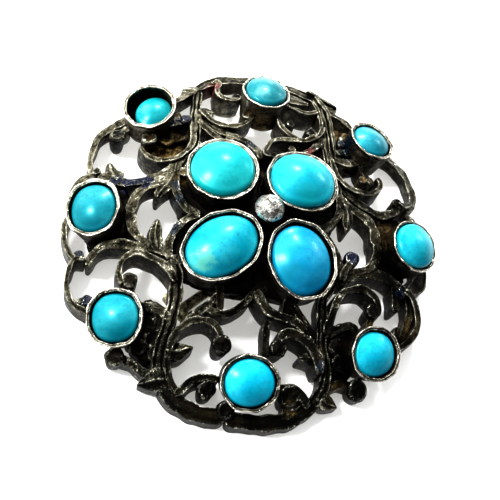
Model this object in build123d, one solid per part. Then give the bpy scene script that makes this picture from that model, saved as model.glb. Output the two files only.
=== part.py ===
from build123d import *
import os
from math import asin, cos, radians, sin, sqrt

# Domed openwork brooch with twelve stones in raised collets, lying flat with its stones up.
# Millimetres, +Z up, origin on the ground under the middle of the dome.

# The cast openwork plate
FRAME_RADIUS = 19.8        # circle that the outermost scrolls reach
DOME_RADIUS = 42.9         # hollow inner face of the dome
FOOT_RADIUS = 16.4         # outside this the plate is cut flat and stands on the ground
WEB_TOP = 2.2              # top of the webs that fill the corners, above the hollow face
WEB_UNDERSIDE = 0.5
STRAP_THICKNESS = 2.6      # plain straps
LINE_RISE = 0.4            # raised line along each strap
CURL_RISE = 0.9            # raised line along the curls that stand above the rest
LINE_SET_IN = 0.3          # how much narrower the raised line is than its strap
LINE_SINK = 0.3            # how deep the raised line is rooted in its strap
STRAP_WIDTH = 0.95         # usual width of a strap
BOSS_RADIUS = 2.3          # middle of the plate, under the knob

# The collets
RIM_HEIGHT = 4.9           # from the hollow face to the collets' rims
COLLET_SEAT = 1.0          # from the hollow face to the collets' undersides
COLLET_FLOOR = 0.6         # metal under each stone
COLLET_WALL = 0.3          # metal round each stone
COLLET_TAPER = 0.3         # how much narrower a collet is at its foot than at its rim
INNER_COLLET = 3.6         # usual half width of a large collet's rim
OUTER_COLLET = 2.65        # usual half width of a small collet's rim

# The stones
STONE_SEAT_GAP = 0.05      # between a stone and its floor
STONE_SIDE_GAP = 0.08      # least space between a stone and its wall
STONE_DOME = 1.6           # a stone's crown is part of a ball this many times its half width
STONE_ROUNDING = 0.22      # rounding of the crown's edge, as a share of the stone's half width

# The knob in the middle
KNOB_RADIUS = 1.45
KNOB_PLACE = (0.5, 0.1)    # the rivet stands a little off the middle
KNOB_CROWN = 1.15          # height of the crown above its widest line
KNOB_COLLAR = 0.25         # straight band under the crown
KNOB_UNDERCUT = 0.45
KNOB_LIFT = 0.9            # widest line above the ball that carries the collets' rims
STEM_RADIUS = 0.8
PELLET_POST = 0.9          # post under each cast ball, as a share of the ball's radius

# The pin and what holds it
PIN_HEIGHT = 1.15          # pin's axis above the ground
PIN_RADIUS = 0.55
PIN_END_RADIUS = 0.4       # where it enters the catch
PIN_TIP_RADIUS = 0.1
PIN_TIP_LENGTH = 1.8       # bare point beyond the catch
PIN_HEADING = 43.0         # degrees from +X
PIN_OFFSET = 1.75          # pin's line passes the middle of the brooch at this distance
HINGE_RADIUS = 0.65
HINGE_WIDTH = 1.5          # the pin's own eye
CHEEK_WIDTH = 1.1          # each lug beside the eye
HINGE_GAP = 0.1            # between eye and lugs, and round the rivet
RIVET_RADIUS = 0.25
HINGE_SHARE = -0.53        # place along the pin's line, as a share of the frame's radius
CATCH_SHARE = 0.5
CATCH_LENGTH = 1.6
CATCH_WALL = 0.5
CATCH_GAP = 0.15
FIXING_ROOT = 0.5          # how deep the lugs and the catch are rooted in the plate

CENTRE_Z = -sqrt(DOME_RADIUS ** 2 - FOOT_RADIUS ** 2)
RIM_SPHERE = DOME_RADIUS + RIM_HEIGHT
STEP = FRAME_RADIUS / 20   # the drawing of the openwork is counted in twentieths of its radius

# The four quarters of the drawing mirror each other: name, side of X, side of Y.
QUARTERS = [
    ("top_right", 1, 1),
    ("top_left", -1, 1),
    ("bottom_left", -1, -1),
    ("bottom_right", 1, -1),
]

# Straps of one quarter: name, rise of its line, width at its start and end as shares of the strap's width,
# and the points of its centre line.
STRAPS = [
    ("stem", "line", 1.05, 1.05, [(8.1, 5.0), (7.4, 7.0), (7.2, 9.0), (7.4, 11), (7.7, 13), (7.6, 15), (6.6, 17.4)]),
    ("second_stem", "line", 0.85, 0.9, [(3.8, 8.3), (5.1, 9.4), (6.3, 10.5), (7.0, 12.0), (7.3, 13.6)]),
    ("volute", "curl", 1.1, 0.8, [(7.9, 5.6), (9.2, 5.0), (10.6, 4.8), (12.2, 5.2), (13.0, 6.4), (12.6, 7.4)]),
    ("volute_tail", "line", 0.9, 0.9, [(12.0, 7.4), (11.0, 8.2), (10.8, 9.8)]),
    ("cartouche", "line", 0.95, 1.05, [(8.7, 4.6), (10.6, 3.7), (12.6, 3.4), (14.4, 3.7), (15.6, 5.0)]),
    ("side_hook", "line", 1.0, 0.9, [(18.6, 0.6), (18.9, 1.8), (18.5, 3.0), (17.7, 3.9), (16.4, 4.5)]),
    ("outer_scroll", "line", 0.9, 1.2, [(16.0, 4.6), (17.2, 5.9), (17.5, 7.7), (16.8, 9.5), (15.3, 10.7), (13.4, 11.6)]),
    ("scroll_curl", "line", 0.9, 0.9, [(16.9, 9.3), (16.1, 9.9), (15.3, 9.1)]),
    ("spine", "line", 0.9, 0.9, [(8.2, 5.0), (8.5, 3.2), (8.0, 1.7), (7.1, 0.7), (5.8, 0.0)]),
    ("inner_cartouche", "line", 0.9, 1.3, [(8.6, 4.6), (10.2, 3.3), (11.5, 2.6), (12.3, 1.5), (12.5, -0.2)]),
    ("collar_link", "line", 1.0, 1.0, [(7.3, 10.0), (8.4, 9.1), (9.7, 8.8), (11.2, 9.8)]),
    ("lower_volute", "line", 0.9, 0.9, [(7.8, 15.6), (9.2, 14.6), (10.6, 14.2), (11.8, 14.3)]),
    ("rim_scroll", "line", 1.5, 1.3, [(7.2, 16.5), (5.7, 17.9), (4.0, 18.8), (2.0, 19.2), (-0.2, 19.2)]),
    ("cup_scroll", "line", 0.9, 1.1, [(6.3, 17.4), (5.4, 16.2), (4.2, 15.6), (2.2, 15.8)]),
    ("arch", "line", 0.9, 0.8, [(7.0, 11.6), (5.8, 10.5), (4.2, 10.1), (2.7, 10.5), (1.9, 11.5), (2.1, 12.5)]),
    ("arch_strap", "line", 0.9, 0.9, [(5.2, 9.6), (3.5, 9.6), (1.9, 9.3), (0.8, 8.5), (0.2, 7.0)]),
    ("arch_link", "line", 0.9, 0.9, [(3.6, 4.6), (3.6, 7.4), (3.2, 9.6)]),
    ("inner_arm", "line", 1.2, 1.2, [(4.0, 4.2), (6.2, 4.6), (8.3, 4.9)]),
]

# Leaves of one quarter: name, width at the root as a share of the strap's width, root, middle and tip.
LEAVES = [
    ("bud", 0.95, [(8.7, 3.9), (9.4, 2.2), (9.7, 0.8)]),
    ("inward_leaf", 1.1, [(7.4, 13.0), (6.3, 13.1), (5.2, 12.9)]),
    ("outward_leaf", 1.7, [(7.0, 15.7), (8.2, 16.3), (9.1, 16.6)]),
]

# Thin webs of one quarter: name and the points of the edge.
WEBS = [
    ("stem_web", [(7.4, 9.6), (9.6, 8.6), (11.4, 9.4), (11.4, 12.8), (9.8, 14.3), (7.8, 15.0)]),
    ("middle_web", [(-0.2, 7.4), (3.4, 7.4), (6.0, 6.4), (8.0, 5.2), (8.2, 2.0), (7.4, -0.2), (-0.2, -0.2)]),
    ("side_web", [(12.6, -0.3), (12.6, 1.6), (13.4, 3.6), (15.6, 4.2), (16.6, 2.0), (16.6, -0.3)]),
]

# Pellets of one quarter: name, place, and radius as a share of the strap's width.
PELLETS = [
    ("volute_pellet", 11.9, 7.1, 0.95),
    ("hook_pellet", 16.4, 4.5, 0.6),
    ("scroll_pellet", 15.3, 9.0, 0.75),
    ("lower_pellet", 11.9, 14.5, 1.0),
    ("arch_pellet", 2.8, 12.4, 0.75),
    ("cup_pellet", 3.7, 16.4, 0.85),
]

# Where a quarter departs from the others: quarter, strap, and the points of its own centre line.
DEPARTURES = [
    ("bottom_left", "rim_scroll", [(7.2, 16.5), (5.7, 17.9), (4.3, 18.7), (2.9, 19.1), (1.5, 18.8)]),
    ("bottom_right", "rim_scroll", [(7.2, 16.5), (5.7, 17.9), (3.8, 18.9), (1.5, 19.3), (-1.3, 19.0)]),
    ("top_left", "volute", [(7.3, 8.6), (8.0, 7.0), (9.5, 5.8), (11.2, 5.7), (12.5, 6.9), (12.3, 8.2)]),
    ("top_right", "volute", [(7.7, 7.6), (8.8, 6.4), (10.2, 5.6), (11.8, 5.4), (13.2, 6.4), (12.8, 7.8)]),
    ("bottom_right", "volute", [(7.9, 6.6), (8.9, 5.4), (10.4, 4.8), (12.2, 4.9), (13.3, 6.2), (12.9, 7.5)]),
    ("top_left", "cartouche", [(8.6, 5.0), (10.4, 3.9), (12.2, 3.4), (14.0, 3.6), (15.4, 4.8)]),
    ("top_right", "outer_scroll", [(15.2, 4.6), (16.7, 5.3), (17.4, 7.0), (17.0, 9.2), (15.5, 10.8), (13.4, 11.6)]),
    ("top_right", "arch", [(6.4, 12.3), (5.8, 11.0), (4.4, 10.3), (2.8, 10.4), (1.8, 11.4), (2.1, 12.7)]),
]

# Collets: name, ring, direction from the middle in degrees, distance as a share of the frame's radius,
# half length and half width of the rim as shares of the ring's usual half width, turn of the long axis in
# degrees, slack round the stone beyond the least, height of the stone below the rim, both in millimetres.
COLLETS = [
    ("top_left", "inner", 133.0, 0.304, 1.00, 1.00, 0, 0.00, -1.1),
    ("top_right", "inner", 47.6, 0.294, 1.05, 0.97, 0, 0.00, -1.2),
    ("bottom_left", "inner", 226.2, 0.263, 1.18, 0.92, 40, 0.03, -0.8),
    ("bottom_right", "inner", 315.7, 0.297, 1.14, 0.97, 108, 0.10, -0.7),
    ("bottom", "outer", 271.0, 0.812, 1.08, 1.02, 0, 0.15, -0.4),
    ("bottom_left", "outer", 221.4, 0.855, 1.02, 0.99, 90, 0.08, -0.4),
    ("left", "outer", 181.0, 0.814, 1.12, 1.00, 90, 0.08, -0.4),
    ("top_left", "outer", 134.2, 0.858, 1.02, 0.93, 60, 0.30, 0.6),
    ("top", "outer", 89.6, 0.790, 1.02, 0.98, 90, 0.00, -0.8),
    ("top_right", "outer", 45.0, 0.855, 0.99, 0.96, 0, 0.22, -0.1),
    ("right", "outer", 0.4, 0.830, 1.06, 1.04, 90, 0.00, -0.9),
    ("bottom_right", "outer", 316.6, 0.864, 1.02, 1.00, 0, 0.18, -0.2),
]


def on_grid(point, side_x=1, side_y=1):
    """A point of the drawing, mirrored into its quarter."""
    return Vector(point[0] * STEP * side_x, point[1] * STEP * side_y)


def ribbon(points, start_width, end_width, pointed=False):
    """The flat outline of a strap whose width changes evenly along its centre line."""
    line = Spline(*points)
    stations = 2 * len(points) - 1
    left, right = [], []
    for i in range(stations):
        t = i / (stations - 1)
        half = (start_width + (end_width - start_width) * t) / 2
        ahead = line.tangent_at(t)
        aside = Vector(-ahead.Y, ahead.X) * half
        left.append(line.position_at(t) + aside)
        right.append(line.position_at(t) - aside)
    start_tip = points[0] - line.tangent_at(0) * (start_width / 3)
    end_tip = points[-1] + line.tangent_at(1) * (end_width / (1 if pointed else 3))
    edges = [
        Spline(*left),
        ThreePointArc(left[-1], end_tip, right[-1]),
        Spline(*reversed(right)),
        ThreePointArc(right[0], start_tip, left[0]),
    ]
    return make_face(edges)


def quarter_points(quarter, name, points):
    """The centre line of a strap in a quarter, with that quarter's own departure if it has one."""
    for other_quarter, other_name, own_points in DEPARTURES:
        if (other_quarter, other_name) == (quarter, name):
            return own_points
    return points


def joined(faces):
    """Flat outlines that overlap, as one."""
    return faces[0].fuse(*faces[1:]) if len(faces) > 1 else faces[0]


def straps_with(rise, set_in):
    """The straps of all four quarters whose raised line has this rise, narrower by the set-in."""
    faces = []
    for quarter, side_x, side_y in QUARTERS:
        for name, own_rise, start, end, points in STRAPS:
            if rise not in (own_rise, "any"):
                continue
            path = [on_grid(p, side_x, side_y) for p in quarter_points(quarter, name, points)]
            faces.append(ribbon(path, start * STRAP_WIDTH - set_in, end * STRAP_WIDTH - set_in))
    return faces


def leaves():
    """The pointed leaves of all four quarters."""
    return [
        ribbon([on_grid(p, side_x, side_y) for p in points], width * STRAP_WIDTH, width * STRAP_WIDTH / 3, True)
        for _, side_x, side_y in QUARTERS
        for _, width, points in LEAVES
    ]


def webs():
    """The thin webs of all four quarters."""
    return [
        make_face(Polyline(*[on_grid(p, side_x, side_y) for p in points], close=True))
        for _, side_x, side_y in QUARTERS
        for _, points in WEBS
    ]


def layer(outline, low, high):
    """The part of an outline between two balls round the dome's centre, cut flat at the ground."""
    block = extrude(outline, amount=DOME_RADIUS + high + CENTRE_Z + 1, dir=(0, 0, 1))
    shell = Pos(0, 0, CENTRE_Z) * (Sphere(DOME_RADIUS + high) - Sphere(DOME_RADIUS + low))
    return block & shell


def dome_normal(direction, distance):
    """The outward direction from the dome's centre through a rim at this plan direction and distance."""
    lean = asin(distance / RIM_SPHERE)
    around = radians(direction)
    return Vector(sin(lean) * cos(around), sin(lean) * sin(around), cos(lean))


def collet_plane(direction, share, turn, height):
    """A plane across a collet's axis, this high above the dome's hollow face, its X along the long axis."""
    normal = dome_normal(direction, share * FRAME_RADIUS)
    origin = Vector(0, 0, CENTRE_Z) + normal * (DOME_RADIUS + height)
    flat_x = Vector(cos(radians(turn)), sin(radians(turn)), 0)
    across = normal.cross(flat_x)
    return Plane(origin=origin, x_dir=across.cross(normal), z_dir=normal)


def oval_wall(place, low, high, half_low, half_high):
    """A straight-sided oval solid between two heights of a collet's axis."""
    sections = [
        place(height) * Ellipse(*half) for height, half in ((low, half_low), (high, half_high))
    ]
    return loft(sections)


def half_sizes(row, height, inset):
    """Half length and half width of a collet at a height above the hollow face, this far inside its outside."""
    _, ring, _, _, length, width, _, _, _ = row
    usual = INNER_COLLET if ring == "inner" else OUTER_COLLET
    narrowing = COLLET_TAPER * (RIM_HEIGHT - height) / (RIM_HEIGHT - COLLET_SEAT)
    return tuple(usual * share - narrowing - inset for share in (length, width))


def collet_place(row):
    """The planes across a collet's axis, as a function of the height above the hollow face."""
    _, _, direction, share, _, _, turn, _, _ = row
    return lambda height: collet_plane(direction, share, turn, height)


def collet_outside(row):
    """A collet as a full cup, before its pocket is cut."""
    low, high = COLLET_SEAT, RIM_HEIGHT
    return oval_wall(collet_place(row), low, high, half_sizes(row, low, 0), half_sizes(row, high, 0))


def collet_pocket(row):
    """The space inside a collet, open past its rim."""
    low, high = COLLET_SEAT + COLLET_FLOOR, RIM_HEIGHT + CURL_RISE
    inset = COLLET_WALL
    return oval_wall(collet_place(row), low, high, half_sizes(row, low, inset), half_sizes(row, high, inset))


def stone(row):
    """A cabochon that fills its collet but for the gap and its own slack, with a rounded crown."""
    slack, sunk = row[7], row[8]
    place = collet_place(row)
    low, top = COLLET_SEAT + COLLET_FLOOR + STONE_SEAT_GAP, RIM_HEIGHT - sunk
    inset = COLLET_WALL + STONE_SIDE_GAP + slack
    waist = min(top, RIM_HEIGHT)
    half = half_sizes(row, waist, inset)
    body = oval_wall(place, low, top, half_sizes(row, low, inset), half)
    ball_radius = STONE_DOME * max(half)
    body = body & (place(top - ball_radius) * Sphere(ball_radius))
    crown = body.faces().filter_by(GeomType.SPHERE)[0]
    return fillet(crown.edges(), STONE_ROUNDING * min(half))


def knob():
    """The rivet's head in the middle, on its stem."""
    widest = CENTRE_Z + RIM_SPHERE + KNOB_LIFT
    foot = CENTRE_Z + DOME_RADIUS + LINE_RISE
    low = widest - KNOB_COLLAR
    ball = (KNOB_RADIUS ** 2 + KNOB_CROWN ** 2) / (2 * KNOB_CROWN)
    half_way = asin(KNOB_RADIUS / ball) / 2
    crown_side = (ball * sin(half_way), widest + KNOB_CROWN - ball * (1 - cos(half_way)))
    profile = make_face([
        Line((0, foot), (STEM_RADIUS, foot)),
        Line((STEM_RADIUS, foot), (STEM_RADIUS, low - KNOB_UNDERCUT)),
        Line((STEM_RADIUS, low - KNOB_UNDERCUT), (KNOB_RADIUS, low)),
        Line((KNOB_RADIUS, low), (KNOB_RADIUS, widest)),
        ThreePointArc((KNOB_RADIUS, widest), crown_side, (0, widest + KNOB_CROWN)),
        Line((0, widest + KNOB_CROWN), (0, foot)),
    ])
    return Pos(*KNOB_PLACE, 0) * revolve(Plane.XZ * profile, Axis.Z)


def pellet_spots():
    """Places and radii of the cast balls at the ends of the curls."""
    return [
        (on_grid((x, y), side_x, side_y), share * STRAP_WIDTH)
        for _, side_x, side_y in QUARTERS
        for _, x, y, share in PELLETS
    ]


def pellets():
    """The cast balls, half sunk in the top of the plate."""
    balls = []
    for spot, radius in pellet_spots():
        surface = sqrt((DOME_RADIUS + STRAP_THICKNESS) ** 2 - spot.X ** 2 - spot.Y ** 2) + CENTRE_Z
        balls.append(Pos(spot.X, spot.Y, surface) * Sphere(radius))
    return balls


def plate():
    """The openwork plate: webs, straps and leaves cut through to the hollow side, with raised lines on top."""
    posts = [Pos(spot.X, spot.Y) * Circle(radius * PELLET_POST) for spot, radius in pellet_spots()]
    outline = joined(straps_with("any", 0) + leaves() + posts + [Circle(BOSS_RADIUS)])
    root = STRAP_THICKNESS - LINE_SINK
    return [
        layer(outline, 0, STRAP_THICKNESS),
        layer(joined(webs()), WEB_UNDERSIDE, WEB_TOP),
        layer(joined(straps_with("line", LINE_SET_IN)), root, STRAP_THICKNESS + LINE_RISE),
        layer(joined(straps_with("curl", LINE_SET_IN)), root, STRAP_THICKNESS + CURL_RISE),
    ]


def pin_frame():
    """The pin's own axes: X along it from hinge to point, Z up, origin where it passes nearest the middle."""
    heading = radians(PIN_HEADING)
    origin = (PIN_OFFSET * sin(heading), -PIN_OFFSET * cos(heading), PIN_HEIGHT)
    return Plane(origin=origin, x_dir=(cos(heading), sin(heading), 0), z_dir=(0, 0, 1))


def ceiling(along):
    """Height of the dome's hollow face above the pin's axis, at a place along the pin."""
    return sqrt(DOME_RADIUS ** 2 - along ** 2 - PIN_OFFSET ** 2) + CENTRE_Z - PIN_HEIGHT


def across(radius, width, x, y):
    """A round bar across the pin."""
    return Pos(x, y, 0) * Rot(90, 0, 0) * Cylinder(radius, width)


def along(start_radius, end_radius, start, end):
    """A round bar along the pin, from one radius to another."""
    return Pos((start + end) / 2, 0, 0) * Rot(0, 90, 0) * Cone(start_radius, end_radius, end - start)


def pin():
    """The fastening pin: an eye round the hinge's rivet, a tapered rod and a point beyond the catch."""
    hinge, catch = HINGE_SHARE * FRAME_RADIUS, CATCH_SHARE * FRAME_RADIUS
    point = catch + CATCH_LENGTH / 2
    rod = along(PIN_RADIUS, PIN_END_RADIUS, hinge, point)
    tip = along(PIN_END_RADIUS, PIN_TIP_RADIUS, point, point + PIN_TIP_LENGTH)
    eye = across(HINGE_RADIUS, HINGE_WIDTH, hinge, 0)
    bore = across(RIVET_RADIUS + HINGE_GAP, 2 * HINGE_WIDTH, hinge, 0)
    return pin_frame() * (rod + tip + eye - bore)


def hinge_lugs():
    """The two lugs beside the pin's eye and the rivet through them, hung from the plate."""
    hinge = HINGE_SHARE * FRAME_RADIUS
    offset = HINGE_WIDTH / 2 + HINGE_GAP + CHEEK_WIDTH / 2
    reach = ceiling(hinge) + FIXING_ROOT
    pieces = [across(RIVET_RADIUS, 2 * offset, hinge, 0)]
    for side in (-1, 1):
        pieces.append(across(HINGE_RADIUS, CHEEK_WIDTH, hinge, side * offset))
        pieces.append(Pos(hinge, side * offset, reach / 2) * Box(2 * HINGE_RADIUS, CHEEK_WIDTH, reach))
    return [pin_frame() * piece for piece in pieces]


def catch():
    """A block hung from the plate, with a channel for the pin that is open to one side."""
    place = CATCH_SHARE * FRAME_RADIUS
    channel = PIN_END_RADIUS + CATCH_GAP
    outside = channel + CATCH_WALL
    reach = ceiling(place) + FIXING_ROOT
    block = Pos(place, 0, (reach - outside) / 2) * Box(CATCH_LENGTH, 2 * outside, reach + outside)
    bore = Pos(place, 0, 0) * Rot(0, 90, 0) * Cylinder(channel, 2 * CATCH_LENGTH)
    mouth = Pos(place, outside, 0) * Box(2 * CATCH_LENGTH, 2 * outside, 2 * channel)
    return pin_frame() * (block - bore - mouth)


def silver_frame():
    """Plate, pellets, collets, knob, hinge lugs and catch as one soldered piece, with the pockets cut last."""
    whole, *more_layers = plate()
    cups = [collet_outside(row) for row in COLLETS]
    for group in [[layer] for layer in more_layers] + [pellets(), cups, hinge_lugs(), [catch()], [knob()]]:
        whole = whole.fuse(*group)
    return whole.cut(*[collet_pocket(row) for row in COLLETS])


os.makedirs("parts", exist_ok=True)
export_step(Part() + silver_frame(), "parts/silver_frame.step")
export_step(Part() + pin(), "parts/pin.step")
for row in COLLETS:
    export_step(Part() + stone(row), f"parts/{row[1]}_stone_{row[0]}.step")
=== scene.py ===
import random
from math import asin, cos, hypot, pi, radians, sin, sqrt
from typing import NamedTuple

import bmesh
import bpy
from mathutils import Matrix, Vector, noise
from mathutils.geometry import interpolate_bezier


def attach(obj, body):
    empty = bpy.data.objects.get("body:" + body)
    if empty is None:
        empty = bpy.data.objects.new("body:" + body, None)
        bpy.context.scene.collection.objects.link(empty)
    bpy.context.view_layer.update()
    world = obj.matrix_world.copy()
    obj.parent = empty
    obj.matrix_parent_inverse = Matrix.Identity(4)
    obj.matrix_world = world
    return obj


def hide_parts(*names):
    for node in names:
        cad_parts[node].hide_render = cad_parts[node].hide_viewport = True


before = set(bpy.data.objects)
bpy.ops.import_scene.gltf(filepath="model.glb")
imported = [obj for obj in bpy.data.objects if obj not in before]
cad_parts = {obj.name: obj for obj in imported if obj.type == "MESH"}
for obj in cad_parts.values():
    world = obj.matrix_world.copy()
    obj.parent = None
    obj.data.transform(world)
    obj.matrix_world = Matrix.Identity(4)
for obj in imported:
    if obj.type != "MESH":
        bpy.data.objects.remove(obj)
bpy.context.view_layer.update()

# Domed openwork brooch of tarnished silver with twelve turquoises. The drawing is in millimetres, and each
# piece is brought to metres when it is finished.
MM = 0.001

# The hollow dome, which stands on its foot, and the sphere on which the rims of the collets lie
DOME_RADIUS = 42.9
FOOT_RADIUS = 16.4
CENTRE_Z = -sqrt(DOME_RADIUS ** 2 - FOOT_RADIUS ** 2)
RIM_HEIGHT = 4.9
RIM_SPHERE = DOME_RADIUS + RIM_HEIGHT
FRAME_RADIUS = 19.8

# The drawing's unit, and heights over the hollow face
STEP = FRAME_RADIUS / 20
SHOULDER = 2.6
WEB_UNDERSIDE, WEB_TOP, BOWL_TOP = 0.5, 2.2, 1.5
BALL_LIFT, CLUMP_LIFT = 0.45, -0.35

COLLET_SEAT, COLLET_FLOOR, COLLET_WALL, COLLET_TAPER = 1.0, 0.6, 0.3, 0.3
STONE_CLEARANCE = 0.08
USUAL_COLLET = {"inner": 3.6, "outer": 2.65}
KNOB_RADIUS, KNOB_PLACE, KNOB_CROWN, KNOB_STEM_RADIUS = 1.45, (0.5, 0.1), 1.15, 0.8
BOSS_RADIUS, BOSS_TOP = 2.3, 2.7
PIN_HEIGHT, PIN_HEADING, PIN_OFFSET, PIN_END_RADIUS = 1.15, 43, 1.75, 0.4
HINGE_RADIUS, HINGE_ALONG = 0.65, -0.53 * FRAME_RADIUS
CHEEK_WIDTH, CHEEK_ASIDE, CHEEK_TOP = 1.1, 1.4, 1.3
RIVET_RADIUS, RIVET_LENGTH = 0.25, 4.1
CATCH_LENGTH, CATCH_GAP, CATCH_ALONG = 1.6, 0.15, 0.5 * FRAME_RADIUS
CATCH_HALF, CATCH_TOP = 1.05, 1.4

# How finely the work is laid out: length of a strap's steps, and steps round the spun pieces
STRAP_STEP = 0.22
STONE_STEPS, KNOB_STEPS, BALL_STEPS = 72, 48, 28
# Hand finish of each kind of work: sizes and depths of its unevenness
STRAP_FINISH = [(1.3, 0.12), (0.45, 0.06)]
WEB_FINISH = [(0.9, 0.25), (0.45, 0.2)]
BALL_FINISH = [(0.7, 0.22)]
BOSS_FINISH = [(0.8, 0.1)]
COLLET_FINISH = [(0.9, 0.06), (0.35, 0.03)]
KNOB_FINISH = [(0.5, 0.08)]

QUARTERS = {"top_right": (1, 1), "top_left": (-1, 1), "bottom_left": (-1, -1), "bottom_right": (1, -1)}

# The straps of each quarter, drawn in the quarter to the top right and mirrored: name, kind of section,
# widths in millimetres from start to end, points of the centre line. The first two are in every quarter.
COMMON = [
    ("spine", "line", (0.85, 0.85), [(8.4, 4.9), (8.5, 3.2), (8.0, 1.7), (7.1, 0.6), (5.8, 0.0)]),
    ("inner_arm", "line", (1.1, 1.1), [(4.0, 4.2), (6.2, 4.6), (8.3, 4.9)]),
]
STRAPS = {}
STRAPS["top_left"] = COMMON + [
    ("stem", "stem", (1.0, 1.05, 1.0), [(6.9, 16.4), (7.0, 14.0), (7.0, 12.0), (6.9, 10.3), (7.0, 8.6), (7.4, 7.2),
         (8.1, 5.9), (8.4, 4.7)]),
    ("second_stem", "line", (0.8, 0.7), [(6.9, 12.6), (6.6, 11.7), (5.9, 10.9), (5.1, 10.0), (4.4, 9.3), (3.8, 8.2)]),
    ("volute", "curl", (0.9, 0.55, 0.5), [(7.1, 11.0), (7.2, 10.1), (7.2, 8.8), (7.4, 7.6), (8.1, 6.7), (9.0, 6.1),
         (10.1, 5.8), (11.1, 6.0), (11.9, 6.6), (12.4, 7.6)]),
    ("cartouche", "line", (0.9, 1.0, 0.9), [(8.2, 6.4), (9.2, 5.0), (10.3, 4.1), (11.5, 3.6), (12.9, 3.3),
         (14.1, 3.4), (15.2, 3.8), (16.2, 4.3)]),
    ("flame", "leaf", (2.2, 1.9, 1.2, 0.5), [(14.2, 3.5), (14.7, 4.2), (15.1, 5.0), (15.3, 5.7)]),
    ("side_hook", "line", (0.9, 0.8), [(18.6, 0.6), (18.5, 2.2), (17.7, 3.6), (16.4, 4.3)]),
    ("inner_cartouche", "line", (0.8, 1.2), [(8.6, 4.6), (10.2, 3.3), (11.5, 2.6), (12.3, 1.5), (12.5, -0.2)]),
    ("outer_scroll", "line", (0.6, 0.65, 0.8, 1.2), [(16.5, 4.2), (17.0, 5.0), (17.2, 6.0), (17.2, 7.0), (17.1, 7.8),
         (16.9, 8.7), (16.4, 9.6), (15.8, 10.2), (15.0, 10.9), (13.8, 11.8)]),
    ("tongue", "line", (0.7, 0.8), [(14.5, 9.7), (13.6, 10.6)]),
    ("collar_link", "line", (1.0, 1.0), [(7.3, 11.6), (8.6, 11.4), (10.2, 11.0)]),
    ("bowl_edge", "line", (0.6, 0.6), [(11.3, 9.3), (10.9, 10.2)]),
    ("lower_volute", "line", (0.8, 0.8), [(7.4, 16.2), (8.2, 15.5), (9.2, 14.6), (10.4, 13.8)]),
    ("outward_leaf", "leaf", (1.7, 1.3, 0.8), [(6.9, 16.3), (7.8, 16.6), (8.7, 16.4)]),
    ("rim_scroll", "rim", (1.2, 1.4, 1.2), [(7.2, 16.7), (6.6, 17.3), (5.6, 18.1), (4.6, 18.6), (3.3, 18.9),
         (2.0, 19.0), (-0.2, 19.0)]),
    ("cup_scroll", "curl", (0.7, 0.55, 0.5), [(5.3, 18.2), (4.8, 17.6), (5.0, 16.7), (4.8, 15.7), (4.1, 15.1),
         (3.2, 15.0), (2.3, 15.4)]),
    ("arch", "curl", (0.7, 0.55, 0.5), [(6.6, 13.2), (6.0, 12.3), (5.2, 11.5), (4.2, 11.0), (3.2, 11.0), (2.3, 11.3),
         (1.5, 12.1), (1.1, 13.0)]),
    ("arch_strap", "line", (0.7, 0.65, 0.7), [(6.1, 11.9), (5.3, 11.0), (4.2, 10.3), (2.9, 10.0), (1.8, 9.6),
         (1.1, 9.0), (0.4, 8.2), (0.0, 7.3)]),
    ("arch_link", "line", (0.8, 0.8), [(3.6, 6.4), (3.6, 8.0), (3.3, 10.2)]),
    ("inward_leaf", "leaf", (1.5, 1.2, 0.8), [(6.9, 13.2), (6.0, 13.1), (5.1, 12.9)]),
    ("bud", "leaf", (1.5, 1.7, 1.3, 0.6), [(8.7, 4.4), (9.3, 3.3), (9.9, 2.3), (10.2, 1.5)]),
]
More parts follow.
